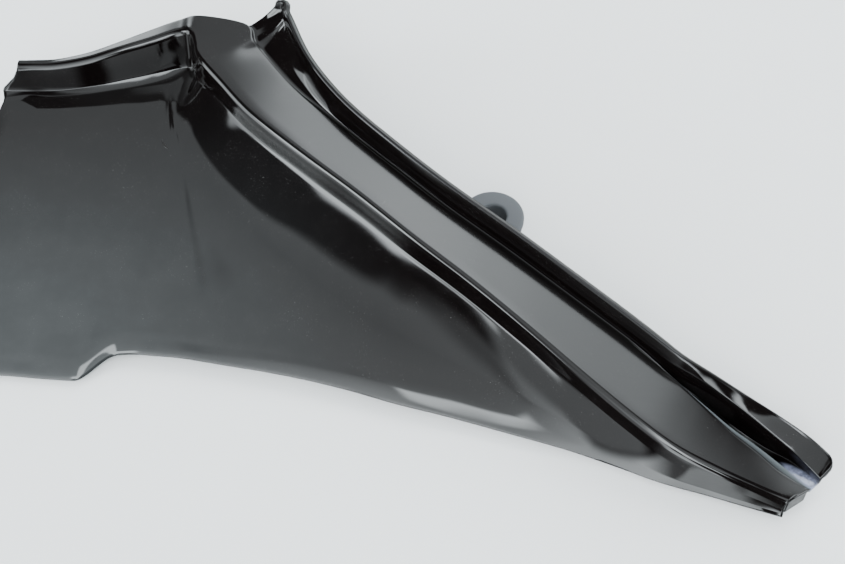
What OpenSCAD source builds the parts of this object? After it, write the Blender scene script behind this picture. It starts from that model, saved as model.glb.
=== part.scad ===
// Side cover for a motorcycle tank: one thin moulding with a rubber grommet in its
// fixing tab. It lies on its back, hollow side down, with its outer face up.
// X runs along the cover from its broad end to its tip, Y from the lower edge to the
// tank, and Z is the way the grommet and the pegs point.

/* [Cover] */
// Length of the plan outline along X
plan_l = 312; // [295:1:330]
// Width of the plan outline along Y
plan_w = 184; // [175:1:195]
// Wall of the moulding
wall_t = 2.5; // [2:0.1:2.8]
// Radius of the rim's crest on the hollow side
rim_inner_r = 0.8; // [0.5:0.1:1.2]
// Fall of the deck from the rim to its outer edge
deck_fall = 1.2; // [0.6:0.1:2]

/* [Lower edge] */
// Reach of the foot below the rest of the lower edge
foot_reach = 9; // [5:0.5:11]
// Length over which the foot runs out into the lower edge
foot_runout = 15; // [12:1:20]
// Height of the foot's outer edge
foot_z = 1.4; // [1:0.1:2]
// Height of the lower edge beside the foot
edge_z = 4.2; // [3.5:0.1:5.5]
// Width of the margin that rolls down to the lower edge
margin_w = 8; // [6:0.5:11]
// Drop of that margin
margin_drop = 2.2; // [1.2:0.1:2.8]

/* [Outer wall] */
// Height of the outer wall above the deck
wall_h = 8.2; // [6:0.1:10]
// Flare of the wall at its broad end
wing_flare = 10.4; // [6:0.2:12]
// Width of the slot between deck and wall at the tip
slot_w = 4.8; // [3.6:0.1:5.6]
// Depth of that slot
slot_d = 8; // [5:0.5:8.5]
// Width of the ledge that the wall opens into at the tip
ledge_w = 6; // [4:0.2:7]
// Width of the bevel along the slot
bevel_w = 4.2; // [2.5:0.1:5]
// Fall of the bevel for each millimetre of its width
bevel_slope = 0.35; // [0.2:0.05:0.5]
// Step that softens the wall's lip
lip_step = 0.6; // [0.4:0.1:0.8]
// Cut of the ledge's outer corner at the tip
tip_corner = 2.2; // [1:0.1:3]
// Cut of the wing's top corner
wing_corner = 1.4; // [0.8:0.1:2]
// Slant of the rim's broad end, from its crest to its foot
end_slant = 7; // [3:0.5:9]

/* [Fixing tab] */
// Place of the tab along the cover, counted in stations of the plan
tab_at = 14.35; // [13.4:0.05:15.4]
// Distance from the deck's edge to the middle of the tab's hole
tab_reach = 16.4; // [15:0.1:18]
// Height of the tab's underside
tab_z = 14; // [12:0.5:16]
// Thickness of the tab
tab_t = 3; // [2:0.1:4]
// Radius of the tab's rounded end
tab_r = 10.5; // [10:0.1:13]
// Thickness of the webs that carry the tab
web_t = 2.2; // [1.6:0.1:3]

/* [Grommet] */
// Radius of the grommet's bore
bore_r = 4.75; // [3:0.05:5.2]
// Radius of the grommet's flange
flange_r = 11; // [9.8:0.1:12]
// Thickness of the flange
flange_t = 3; // [2:0.1:4]
// Radius of the grommet in the tab's hole
neck_r = 7.5; // [6.8:0.1:8.2]
// Length of the grommet below the tab
tail_l = 7.5; // [5:0.5:9]
// Radius of the grommet below the tab
tail_r = 9.6; // [8.8:0.1:10.5]
// Clearance between grommet and tab
fit_gap = 0.1; // [0.05:0.05:0.3]

/* [Pegs and ribs] */
// Diameter of the two locating pegs
peg_d = 7; // [5:0.1:8]
// Chamfer at the pegs' ends
peg_chamfer = 1; // [0.5:0.1:1.5]
// Diameter of the boss that each peg stands on
boss_d = 11; // [9.5:0.5:13]
// Length of the pegs' plain end below the boss
peg_l = 12; // [8:0.5:15]
// Thickness of the stiffening ribs
rib_t = 1.6; // [1.2:0.1:2.2]
// Depth of the ribs at the deck's edge
rib_d = 4; // [3:0.5:6]

/* [Hidden] */

// Length and width that the plan below is drawn at
DRAWN = [312, 184];
// Columns of the skin between one station and the next
COLUMNS = [3, 3, 2, 3, 6, 4, 4, 4, 2, 2, 2, 2, 2, 2, 2, 2, 2, 2, 3, 3, 3, 3, 3];
// First station that has the outer wall
WALL_START = 8;
// Stations that the two corner cuts run over
TIP_RUN = 0.4;
WING_RUN = 0.6;

// Crest of the rim at each station, from the broad end to the tip
crest_plan = [
    [-151, 99], [-146, 98.5], [-136, 97.8], [-124, 98.2], [-112, 99.8], [-100, 102],
    [-90, 104], [-85.5, 103], [-83.5, 98], [-81.5, 91.5], [-73.5, 81], [-61, 65.5],
    [-42, 48], [-23, 32], [-4.5, 15.5], [15, -1], [33, -17.5], [51.5, -35],
    [66.5, -48], [78.5, -56.5], [92.5, -62.5], [103, -66], [109, -68], [114.5, -69.8]];
crest_z = [30.4, 30.9, 31.9, 34.3, 37.5, 39.9, 42.2, 43.8, 43.9, 43.2, 42.4, 41.3,
    39.5, 37.3, 34.8, 32, 29.2, 25.6, 22.2, 19, 15, 11.8, 9.8, 8];
// Outer edge of the deck behind the rim
deck_plan = [
    [-150.8, 102.5], [-145.6, 102.1], [-135.8, 101.7], [-124, 102.8], [-112.5, 105],
    [-101, 108.4], [-90, 110.8], [-81.5, 110.8], [-64.5, 106.3], [-61.5, 99.2],
    [-57.8, 94], [-46, 78.8], [-29.8, 62.9], [-11, 45.7], [7.3, 29.4], [27.2, 13.4],
    [46.6, -2.9], [66.2, -19], [80, -30.5], [89.4, -38], [99, -45], [107.5, -50],
    [115, -55.8], [123.5, -64]];
// Fall of the deck, as a share of deck_fall
fall_share = [0.4, 0.4, 0.4, 0.5, 0.5, 0.3, -0.2, -0.7, -0.6, -0.3, 0.5, 1,
    1, 1, 1, 1, 1, 1, 1, 1, 1, 1, 0.9, 0.8];
// Height of the rim's side, from its crest down to the crease of the flank
band_h = [12.8, 12.6, 12.4, 13.2, 14.7, 15.9, 17.2, 18, 16, 12.4, 9.8, 9,
    8.4, 8.1, 7.8, 7.4, 7, 6.6, 6.3, 6, 5.6, 5, 4.6, 4.2];
// Foot of the flank, where it meets the panel
flank_plan = [
    [-158.5, 94.2], [-150.5, 93.6], [-139, 93.4], [-127, 93.9], [-115.5, 95.1], [-105, 96.2],
    [-97.5, 95.8], [-94.5, 91.8], [-93, 85.3], [-91, 78], [-86.5, 67], [-76, 49.5],
    [-58, 29.5], [-39.5, 13.3], [-20.5, -2.3], [1, -15.5], [24, -28], [46, -41],
    [63.5, -51.8], [77, -58.6], [92, -63.6], [102.6, -67.1], [108.7, -69.1], [114.1, -70.9]];
flank_z = [16.1, 17, 18.1, 19.4, 20.6, 21.5, 22.3, 22.6, 22.5, 22.3, 22, 21,
    19.4, 17.5, 15.7, 14, 12, 10, 7.6, 5.6, 4.3, 3.4, 2.9, 2.7];
// Lower edge, without the foot
edge_plan = [
    [-178, 5], [-174.5, -5], [-163, -9.5], [-145, -9.4], [-127, -11], [-109, -12.2],
    [-98, -12], [-90, -12.8], [-82, -13.8], [-74, -15.4], [-66, -17], [-54, -19.3],
    [-40, -22.5], [-25, -26.6], [-9, -31.7], [8, -36.3], [27, -42], [46.5, -48],
    [63, -54.3], [76.3, -59.6], [91.6, -64.3], [102.3, -67.9], [108.3, -69.9], [113.8, -71.8]];
// Height of the lower edge, as a share of edge_z
edge_share = [1, 1, 1, 1, 1, 1, 1.05, 1.1, 1.15, 1.2, 1.2, 1.2,
    1.2, 1.15, 1.05, 0.95, 0.8, 0.65, 0.55, 0.45, 0.4, 0.4, 0.42, 0.45];
// X where the foot has run out into the lower edge
FOOT_END = -103.5;

// The lists below start at WALL_START. Way that the wall leans out, in plan
lean_angle = [14, 25, 36, 43, 49, 49, 49, 49, 47, 47, 51, 57, 51, 42, 38, 42];
wing_share = [1, 0.97, 0.88, 0.45, 0.1, 0, 0, 0, 0, 0, 0, 0, 0, 0, 0, 0];
slot_share = [0, 0, 0, 0, 0, 0, 0, 0, 0, 0.05, 0.2, 0.7, 1, 0.9, 0.9, 0.6];
depth_share = [0.03, 0.03, 0.03, 0.03, 0.03, 0.03, 0.03, 0.03, 0.03, 0.1, 0.35, 0.75,
    1, 0.8, 0.4, 0.05];
ledge_share = [0, 0, 0, 0, 0, 0, 0, 0, 0, 0, 0.05, 0.15, 0.4, 0.8, 0.95, 1];
bevel_share = [0.1, 0.1, 0.1, 0.1, 0.1, 0.1, 0.1, 0.1, 0.1, 0.1, 0.15, 0.35, 0.6, 0.85, 1, 0.4];
fold_share = [0.73, 0.73, 0.72, 0.68, 0.6, 0.56, 0.56, 0.56, 0.56, 0.56, 0.55, 0.45,
    0.39, 0.35, 0.24, 0.2];
lip_share = [1.2, 1.2, 1.18, 1.12, 1.03, 1, 1, 1, 1, 1, 0.98, 0.88, 0.76, 0.6, 0.54, 0.58];

function lerp(a, b, t) = a + (b - a) * t;
function clamp01(t) = max(0, min(1, t));
function smooth(t) = let (c = clamp01(t)) c * c * (3 - 2 * c);
function unit(v) = v / norm(v);
function flat(p) = [p.x, p.y];
function knot(list, i) = list[max(0, min(len(list) - 1, i))];

// Smooth curve through a list of values, at a place given in stations
function curve(list, u) =
    let (i = max(0, min(floor(u), len(list) - 2)), t = u - i)
    let (a = knot(list, i - 1), b = list[i], c = list[i + 1], d = knot(list, i + 2))
    b + 0.5 * t * (c - a + t * (2 * a - 5 * b + 4 * c - d + t * (3 * (b - c) + d - a)));
function wall_curve(list, u) = curve(list, max(0, u - WALL_START));

// Point of the plan at its set size, with a height
function place(plan, z, u) =
    let (p = curve(plan, u))
    [p.x * plan_l / DRAWN.x, p.y * plan_w / DRAWN.y, z];

// Points along a cubic curve, without its first point
function bezier(a, b, c, d, steps) =
    [for (i = [1:steps]) let (t = i / steps, s = 1 - t)
        s * s * s * a + 3 * s * s * t * b + 3 * s * t * t * c + t * t * t * d];

// Arc of radius r inside the corner k, from the direction e1 to the direction e2
function corner_arc(k, e1, e2, r, steps) =
    let (half = acos(e1 * e2) / 2, sweep = 180 - 2 * half)
    let (centre = k + unit(e1 + e2) * r / sin(half), reach = r / tan(half))
    let (a = k + e1 * reach - centre, b = k + e2 * reach - centre)
    [for (i = [0:steps]) let (t = i / steps)
        centre + (a * sin((1 - t) * sweep) + b * sin(t * sweep)) / sin(sweep)];

// Key points of the section at u
function crest(u) = place(crest_plan, curve(crest_z, u), u);
function flank_foot(u) = place(flank_plan, curve(flank_z, u), u);
function deck_edge(u) =
    place(deck_plan, curve(crest_z, u) - deck_fall * curve(fall_share, u), u);
function lower_edge(u) =
    let (p = place(edge_plan, edge_z * curve(edge_share, u), u))
    let (foot = smooth((FOOT_END * plan_l / DRAWN.x - p.x) / foot_runout))
    [p.x, p.y - foot_reach * foot, lerp(p.z, foot_z, foot)];

// Panel from the lower edge to the foot of the flank, with its rolled margin
BULGE = 0.5;
PANEL_STEPS = 5;
MARGIN_STEPS = [0, 0.25, 0.6];
STEEP_RUN = 30;
function panel_point(e, f, t) =
    let (run = norm(flat(f - e)), round = clamp01(run / STEEP_RUN))
    let (margin = min(margin_w / run, 0.4), drop = min(margin_drop, 0.3 * (f.z - e.z)) * round)
    let (roll = 1 - pow(1 - min(t / margin, 1), 2), rise = t * (1 + BULGE * round * (1 - t)))
    let (p = lerp(e, f, t))
    [p.x, p.y, e.z + drop * roll + (f.z - e.z - drop) * rise];
function panel(e, f) =
    let (margin = min(margin_w / norm(flat(f - e)), 0.4))
    [for (s = MARGIN_STEPS) panel_point(e, f, margin * s),
     for (i = [0:PANEL_STEPS]) panel_point(e, f, lerp(margin, 1, i / PANEL_STEPS))];

// Flank from its foot f up to the crease r under the rim, hollow in section
FLANK_STEPS = 5;
LEAVE = 0.5;
ARRIVE = 0.12;
CLIMB = 0.6;
function flank(e, f, r) =
    let (run = flat(r - f), span = norm(flat(f - e)), round = clamp01(span / STEEP_RUN))
    let (slope = (f.z - e.z) * (1 - BULGE) / span, steep = (r - f) / 3)
    let (b = f + lerp(steep, [run.x, run.y, slope * norm(run)] * LEAVE, round))
    let (c = r - lerp(steep, [run.x * ARRIVE, run.y * ARRIVE, (r.z - f.z) * CLIMB], round))
    bezier(f, b, c, r, FLANK_STEPS);

// Rim's side, crest and deck, up to the deck's edge
RIM_STEPS = 4;
DECK_STEPS = 2;
CREST_R = wall_t + rim_inner_r;
function rim_crease(u) =
    let (k = crest(u), out = flat(flank_foot(u) - k), lean = min(1, norm(out) / 2))
    [each flat(k) + unit(out) * lean, k.z - curve(band_h, u)];
function rim_and_deck(u) =
    let (k = crest(u), r = rim_crease(u), s = deck_edge(u))
    let (e1 = unit(r - k), e2 = unit(s - k), bevel = bevel_w * wall_curve(bevel_share, u))
    let (half = acos(e1 * e2) / 2, room = 0.8 * tan(half) * min(norm(r - k), norm(s - k)))
    let (arc = corner_arc(k, e1, e2, min(CREST_R, room), RIM_STEPS))
    let (start = arc[RIM_STEPS], end = s - e2 * bevel)
    [(r + arc[0]) / 2, each arc,
     for (i = [1:DECK_STEPS]) lerp(start, end, i / DECK_STEPS),
     s - [0, 0, bevel * bevel_slope]];

// Outer wall, from the slot beside the deck to the lip
FOLD_STEPS = 3;
function wall(u, s) =
    let (way = wall_curve(lean_angle, u), out = [cos(way), sin(way), 0], up = [0, 0, 1])
    let (slot = slot_w * wall_curve(slot_share, u), depth = slot_d * wall_curve(depth_share, u))
    let (cut = tip_corner * pow(clamp01(1 - (len(COLUMNS) - u) / TIP_RUN), 2))
    let (top_cut = wing_corner * pow(clamp01(1 - (u - WALL_START) / WING_RUN), 2))
    let (fold_x = 1 + wing_flare * wall_curve(wing_share, u) + slot - top_cut)
    let (lip_x = fold_x + 0.6 + ledge_w * wall_curve(ledge_share, u) - cut)
    let (fold_z = wall_h * wall_curve(fold_share, u), lip_z = wall_h * wall_curve(lip_share, u) - top_cut)
    let (near = s + 0.3 * out - depth * up, far = s + (0.6 + slot) * out - depth * up)
    let (fold = s + fold_x * out + fold_z * up, lip = s + lip_x * out + (lip_z - lip_step) * up)
    let (wing = wall_curve(wing_share, u), low = lerp(0.12, 0.42, wing))
    let (bend = s + lerp(0.6 + slot, fold_x, 0.62) * out + lerp(-depth, fold_z, low) * up)
    [near, far, each bezier(far, lerp(far, bend, 0.67), lerp(fold, bend, 0.67), fold, FOLD_STEPS),
     (fold + lip) / 2, lip, lip + lip_step * (out + up)];

// The whole outer line of the section at u, from the lower edge to the lip
function section(u) =
    let (e = lower_edge(u), f = flank_foot(u), rim = rim_and_deck(u), s = rim[len(rim) - 1])
    let (slant = end_slant * pow(clamp01(1 - u), 2), top = crest(u).z, side = curve(band_h, u))
    let (rise = flank(e, f, rim_crease(u)), steps = len(rise))
    [each panel(e, f),
     for (i = [1:steps]) rise[i - 1] - [slant * i / steps, 0, 0],
     for (p = [each rim, each wall(u, s)])
        p - [slant * pow(clamp01((top - p.z) / side), 2), 0, 0]];

// Rows of the skin: the deck's edge, and the last two of the wall
DECK_ROW = len(MARGIN_STEPS) + PANEL_STEPS + FLANK_STEPS + 1 + RIM_STEPS + 1 + DECK_STEPS + 1;
LIP_ROW = DECK_ROW + 2 + FOLD_STEPS + 3;

// Columns of the skin
places = [for (k = [0:len(COLUMNS) - 1], i = [0:COLUMNS[k] - 1]) k + i / COLUMNS[k], len(COLUMNS)];
LAST = len(places) - 1;
WALL_COLUMN = search(WALL_START, places)[0];
outer = [for (u = places) section(u)];
function top_row(i) = i < WALL_COLUMN ? DECK_ROW : LIP_ROW;

// Skin on the hollow side, one wall thickness in from the outer one
function facing(i, j) =
    let (a = max(j > DECK_ROW ? WALL_COLUMN : 0, i - 1), b = min(LAST, i + 1))
    let (c = max(0, j - 1), d = min(top_row(i), j + 1))
    unit(cross(outer[b][j] - outer[a][j], outer[i][d] - outer[i][c]));
// Beside a shallow slot the hollow side stays parallel to the deck
function inward(i, j) =
    let (row = outer[i], slot = DECK_ROW + 2, fold = slot + FOLD_STEPS)
    let (depth = i < WALL_COLUMN ? 0 : row[DECK_ROW].z - row[slot].z, rise = row[fold].z - row[slot].z)
    let (bevel = j > DECK_ROW ? 1 : clamp01(norm(row[DECK_ROW] - row[DECK_ROW - 1]) / 3.5))
    let (open = clamp01((depth - 2.5) / 4) * bevel)
    let (own = j < DECK_ROW - 1 ? 1 : j <= slot ? open : clamp01(rise / 4.5))
    unit(lerp(facing(i, DECK_ROW - 2), facing(i, j > LIP_ROW - 2 ? LIP_ROW - 2 : j), own));
function inner_point(i, j) =
    outer[i][j] - (j == LIP_ROW ? wall_t - 2 * lip_step : wall_t) * inward(i, j);
inner = [for (i = [0:LAST]) [for (j = [0:LIP_ROW]) inner_point(i, min(j, top_row(i)))]];

ROWS = LIP_ROW + 1;
SKIN = (LAST + 1) * ROWS;
function at(i, j) = i * ROWS + j;
function quad(a, b, c, d) = [[a, b, c], [a, c, d]];
skin_faces = [
    for (i = [0:LAST - 1], j = [0:top_row(i) - 1])
        let (a = at(i, j), b = at(i + 1, j), c = at(i + 1, j + 1), d = at(i, j + 1))
        each concat(quad(a, d, c, b), quad(a + SKIN, b + SKIN, c + SKIN, d + SKIN)),
    for (i = [0:LAST - 1])
        let (a = at(i, 0), b = at(i + 1, 0), c = at(i + 1, top_row(i)), d = at(i, top_row(i)))
        each concat(quad(a, b, b + SKIN, a + SKIN), quad(c, d, d + SKIN, c + SKIN)),
    for (j = [0:DECK_ROW - 1])
        let (a = at(0, j), d = at(0, j + 1))
        each quad(d, a, a + SKIN, d + SKIN),
    for (j = [DECK_ROW:LIP_ROW - 1])
        let (a = at(WALL_COLUMN, j), d = at(WALL_COLUMN, j + 1))
        each quad(d, a, a + SKIN, d + SKIN),
    for (j = [0:LIP_ROW - 1])
        let (b = at(LAST, j), c = at(LAST, j + 1))
        each quad(b, c, c + SKIN, b + SKIN)];

// The origin lies under the middle of the plan, on the surface that the cover rests on
used = [for (i = [0:LAST], j = [0:top_row(i)]) each [outer[i][j], inner[i][j]]];
xs = [for (p = used) p.x];
ys = [for (p = used) p.y];
FLOOR = min([for (p = used) p.z]);
ORIGIN = [(min(xs) + max(xs)) / 2, (min(ys) + max(ys)) / 2, FLOOR];

// Point inside the deck's wall, at a share of the way from the rim to the deck's edge
function in_deck(u, t) = lerp(crest(u), deck_edge(u), t) - [0, 0, wall_t / 2];
// Point inside the panel's wall
function in_panel(u, t) = panel_point(lower_edge(u), flank_foot(u), t) - [0, 0, wall_t / 2];

// Upright web from a to b, its lower edge drop_a and drop_b below them
module web(a, b, drop_a, drop_b, t) {
    run = flat(b - a);
    translate(flat(a))
        rotate([90, 0, atan2(run.y, run.x)])
            translate([0, 0, -t / 2])
                linear_extrude(t)
                    polygon([[0, a.z], [0, a.z - drop_a], [norm(run), b.z - drop_b], [norm(run), b.z]]);
}

// Ribs across the hollow under the deck
RIB_STATIONS = [9.5, 11.2, 12.8, 16, 17.4, 18.7];
module ribs() {
    for (u = RIB_STATIONS) {
        k = crest(u);
        s = deck_edge(u);
        inset = unit(s - k) * wall_t / 2;
        rim_side = k + inset - [0, 0, wall_t];
        web(rim_side, s - inset - [0, 0, wall_t / 2], curve(band_h, u) - wall_t, rib_d, rib_t);
    }
}

// Wall that closes the hollow at the tip, just behind its end and clear of the resting surface
TIP_WALL_BACK = 0.3;
TIP_WALL_CLEAR = 0.2;
module tip_wall() {
    u = len(COLUMNS);
    k = crest(u);
    s = deck_edge(u);
    way = unit(flat(s - k));
    back = [-way.y, way.x, 0] * (wall_t / 2 + TIP_WALL_BACK);
    a = [each flat(k) + way * wall_t / 2, k.z - wall_t / 2] + back;
    b = [each flat(s) - way * wall_t / 2, s.z - wall_t / 2] + back;
    web(a, b, a.z - FLOOR - TIP_WALL_CLEAR, b.z - FLOOR - TIP_WALL_CLEAR, wall_t);
}

// Peg on a boss, from the surface that it rests on up into the wall at p
module peg(p) {
    top = p.z;
    translate([p.x, p.y, FLOOR + peg_chamfer]) {
        cylinder(d = peg_d, h = top - FLOOR - peg_chamfer, $fn = 48);
        translate([0, 0, -peg_chamfer])
            cylinder(d1 = peg_d - 2 * peg_chamfer, d2 = peg_d, h = peg_chamfer, $fn = 48);
    }
    translate([p.x, p.y, FLOOR + peg_l])
        cylinder(d = boss_d, h = top - FLOOR - peg_l, $fn = 48);
}
CORNER_PEG = [9, 0.93];
STRIP_PEG = [16.5, 0.5];
PEG_PLACES = [in_panel(CORNER_PEG[0], CORNER_PEG[1]), in_deck(STRIP_PEG[0], STRIP_PEG[1])];

// Tab for the grommet, on webs under the deck's edge
tab_edge = deck_edge(tab_at);
tab_way = unit(flat(deck_edge(tab_at) - crest(tab_at)));
tab_side = [tab_way.y, -tab_way.x];
TAB_CENTRE = flat(tab_edge) + tab_way * tab_reach;
TAB_ANGLE = atan2(tab_way.y, tab_way.x);
hole_r = neck_r + fit_gap;
// Reach of the tab's webs to both sides of the deck's edge, and half the back web in stations
WEB_REACH = 5;
WEB_INSET = 4;
BACK_SPAN = 0.43;
// The webs end this far inside the tab's faces
WEB_SET = 0.4;
module tab_plate() {
    translate([TAB_CENTRE.x, TAB_CENTRE.y, tab_z])
        rotate(TAB_ANGLE)
            linear_extrude(tab_t)
                difference() {
                    union() {
                        circle(tab_r, $fn = 96);
                        translate([-tab_reach - WEB_REACH, -tab_r])
                            square([tab_reach + WEB_REACH, 2 * tab_r]);
                    }
                    circle(hole_r, $fn = 96);
                }
}
module tab_webs() {
    inset = tab_way * WEB_INSET;
    a = deck_edge(tab_at - BACK_SPAN) - [each inset, wall_t / 2];
    b = deck_edge(tab_at + BACK_SPAN) - [each inset, wall_t / 2];
    web(a, b, a.z - tab_z - WEB_SET, b.z - tab_z - WEB_SET, web_t);
    for (side = [-1, 1]) {
        foot = flat(tab_edge) + tab_side * side * (tab_r - web_t / 2 - WEB_SET);
        deck_z = deck_edge(tab_at + side * BACK_SPAN).z;
        p = [each foot - inset, deck_z - wall_t * 0.8];
        q = [each foot + tab_way * WEB_REACH, tab_z + tab_t + 1];
        web(p, q, p.z - tab_z - WEB_SET, q.z - tab_z - WEB_SET, web_t);
    }
}

module cover_shell() {
    color([0.07, 0.08, 0.08])
        translate(-ORIGIN) {
            polyhedron([for (c = outer) each c, for (c = inner) each c], skin_faces, convexity = 8);
            ribs();
            tip_wall();
            tab_plate();
            tab_webs();
            for (p = PEG_PLACES) peg(p);
        }
}

// Rubber grommet: flange on the tab, neck in its hole, and a tail below with a lead-in
module rubber_grommet() {
    below = tab_z - fit_gap;
    above = tab_z + tab_t + fit_gap;
    soft = 0.8;
    color([0.3, 0.31, 0.32])
        translate([TAB_CENTRE.x, TAB_CENTRE.y, 0] - ORIGIN)
            rotate_extrude($fn = 96)
                polygon([
                    [bore_r, below - tail_l], [tail_r - 2, below - tail_l], [tail_r, below - tail_l + 3],
                    [tail_r, below], [neck_r, below], [neck_r, above], [flange_r, above],
                    [flange_r, above + flange_t - soft], [flange_r - soft, above + flange_t],
                    [bore_r + soft, above + flange_t], [bore_r, above + flange_t - soft]]);
}

cover_shell();
rubber_grommet();
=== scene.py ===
"""Side cover of a motorcycle tank: a gloss black moulding on its back, with a rubber grommet.

The file is laid out as a Blender add-on. Run as a script, it builds the cover, the
grommet and a pale studio round them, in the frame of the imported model.
"""

import math

import bmesh
import bpy
from bpy.props import FloatProperty, FloatVectorProperty, IntProperty, PointerProperty
from mathutils import Matrix, Vector


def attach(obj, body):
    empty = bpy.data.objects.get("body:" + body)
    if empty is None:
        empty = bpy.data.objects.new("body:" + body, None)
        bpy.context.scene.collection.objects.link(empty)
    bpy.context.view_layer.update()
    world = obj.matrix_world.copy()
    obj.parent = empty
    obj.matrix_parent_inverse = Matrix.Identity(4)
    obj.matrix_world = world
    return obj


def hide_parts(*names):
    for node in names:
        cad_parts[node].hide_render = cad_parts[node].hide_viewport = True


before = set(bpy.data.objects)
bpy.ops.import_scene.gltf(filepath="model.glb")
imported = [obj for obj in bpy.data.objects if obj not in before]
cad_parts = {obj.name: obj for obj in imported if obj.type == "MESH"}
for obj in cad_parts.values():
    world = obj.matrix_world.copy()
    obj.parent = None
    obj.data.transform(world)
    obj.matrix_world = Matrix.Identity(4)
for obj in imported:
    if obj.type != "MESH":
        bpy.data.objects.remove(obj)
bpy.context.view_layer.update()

bl_info = {
    "name": "Tank side cover",
    "version": (1, 0, 0),
    "blender": (4, 5, 0),
    "location": "View3D > Sidebar > Side cover",
    "description": "Builds a motorcycle tank's side cover with its grommet and a studio",
    "category": "Add Mesh",
}

MM = 0.001
UP = Vector((0, 0, 1))

# Middle of the plan outline on the resting surface, as the section lists count it, in mm
ORIGIN = Vector((-23.8628, 19.7497, -0.67924))

# Columns between one station and the next, before they are made finer
COLUMNS = (3, 3, 2, 3, 6, 4, 4, 4, 2, 2, 2, 2, 2, 2, 2, 2, 2, 2, 3, 3, 3, 3, 3)
WALL_START = 8
FOOT_END = -103.5

# Crest of the rim at each station, from the broad end to the tip
CREST_PLAN = (
    (-151, 99), (-146, 98.5), (-136, 97.8), (-124, 98.2), (-112, 99.8), (-100, 102),
    (-90, 104), (-85.5, 103), (-83.5, 98), (-81.5, 91.5), (-73.5, 81), (-61, 65.5),
    (-42, 48), (-23, 32), (-4.5, 15.5), (15, -1), (33, -17.5), (51.5, -35),
    (66.5, -48), (78.5, -56.5), (92.5, -62.5), (103, -66), (109, -68), (114.5, -69.8))
CREST_Z = (30.4, 30.9, 31.9, 34.3, 37.5, 39.9, 42.2, 43.8, 43.9, 43.2, 42.4, 41.3,
    39.5, 37.3, 34.8, 32, 29.2, 25.6, 22.2, 19, 15, 11.8, 9.8, 8)
# Outer edge of the deck behind the rim, and how far the deck falls to it
DECK_PLAN = (
    (-150.8, 102.5), (-145.6, 102.1), (-135.8, 101.7), (-124, 102.8), (-112.5, 105),
    (-101, 108.4), (-90, 110.8), (-81.5, 110.8), (-64.5, 106.3), (-61.5, 99.2),
    (-57.8, 94), (-46, 78.8), (-29.8, 62.9), (-11, 45.7), (7.3, 29.4), (27.2, 13.4),
    (46.6, -2.9), (66.2, -19), (80, -30.5), (89.4, -38), (99, -45), (107.5, -50),
    (115, -55.8), (123.5, -64))
FALL_SHARE = (0.4, 0.4, 0.4, 0.5, 0.5, 0.3, -0.2, -0.7, -0.6, -0.3, 0.5, 1,
    1, 1, 1, 1, 1, 1, 1, 1, 1, 1, 0.9, 0.8)
# Height of the rim's side
BAND_H = (12.8, 12.6, 12.4, 13.2, 14.7, 15.9, 17.2, 18, 16, 12.4, 9.8, 9,
    8.4, 8.1, 7.8, 7.4, 7, 6.6, 6.3, 6, 5.6, 5, 4.6, 4.2)
# Foot of the flank, where it meets the panel
FLANK_PLAN = (
    (-158.5, 94.2), (-150.5, 93.6), (-139, 93.4), (-127, 93.9), (-115.5, 95.1), (-105, 96.2),
    (-97.5, 95.8), (-94.5, 91.8), (-93, 85.3), (-91, 78), (-86.5, 67), (-76, 49.5),
    (-58, 29.5), (-39.5, 13.3), (-20.5, -2.3), (1, -15.5), (24, -28), (46, -41),
    (63.5, -51.8), (77, -58.6), (92, -63.6), (102.6, -67.1), (108.7, -69.1), (114.1, -70.9))
FLANK_Z = (16.1, 17, 18.1, 19.4, 20.6, 21.5, 22.3, 22.6, 22.5, 22.3, 22, 21,
    19.4, 17.5, 15.7, 14, 12, 10, 7.6, 5.6, 4.3, 3.4, 2.9, 2.7)
# Lower edge without the foot, and its height
EDGE_PLAN = (
    (-178, 5), (-174.5, -5), (-163, -9.5), (-145, -9.4), (-127, -11), (-109, -12.2),
    (-98, -12), (-90, -12.8), (-82, -13.8), (-74, -15.4), (-66, -17), (-54, -19.3),
    (-40, -22.5), (-25, -26.6), (-9, -31.7), (8, -36.3), (27, -42), (46.5, -48),
    (63, -54.3), (76.3, -59.6), (91.6, -64.3), (102.3, -67.9), (108.3, -69.9), (113.8, -71.8))
EDGE_SHARE = (1, 1, 1, 1, 1, 1, 1.05, 1.1, 1.15, 1.2, 1.2, 1.2,
    1.2, 1.15, 1.05, 0.95, 0.8, 0.65, 0.55, 0.45, 0.4, 0.4, 0.42, 0.45)

# The lists below start at WALL_START
LEAN_ANGLE = (14, 25, 36, 43, 49, 49, 49, 49, 47, 47, 51, 57, 51, 42, 38, 42)
WING_SHARE = (1, 0.97, 0.88, 0.45, 0.1, 0, 0, 0, 0, 0, 0, 0, 0, 0, 0, 0)
SLOT_SHARE = (0, 0, 0, 0, 0, 0, 0, 0, 0, 0.05, 0.2, 0.7, 1, 0.9, 0.9, 0.6)
DEPTH_SHARE = (0.03, 0.03, 0.03, 0.03, 0.03, 0.03, 0.03, 0.03, 0.03, 0.1, 0.35, 0.75,
    1, 0.8, 0.4, 0.05)
LEDGE_SHARE = (0, 0, 0, 0, 0, 0, 0, 0, 0, 0, 0.05, 0.15, 0.4, 0.8, 0.95, 1)
BEVEL_SHARE = (0.1, 0.1, 0.1, 0.1, 0.1, 0.1, 0.1, 0.1, 0.1, 0.1, 0.15, 0.35, 0.6, 0.85, 1, 0.4)
FOLD_SHARE = (0.73, 0.73, 0.72, 0.68, 0.6, 0.56, 0.56, 0.56, 0.56, 0.56, 0.55, 0.45,
    0.39, 0.35, 0.24, 0.2)
LIP_SHARE = (1.2, 1.2, 1.18, 1.12, 1.03, 1, 1, 1, 1, 1, 0.98, 0.88, 0.76, 0.6, 0.54, 0.58)

# Groove between the deck and the outer wall where there is no slot, in mm
GROOVE = 0.8

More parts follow.
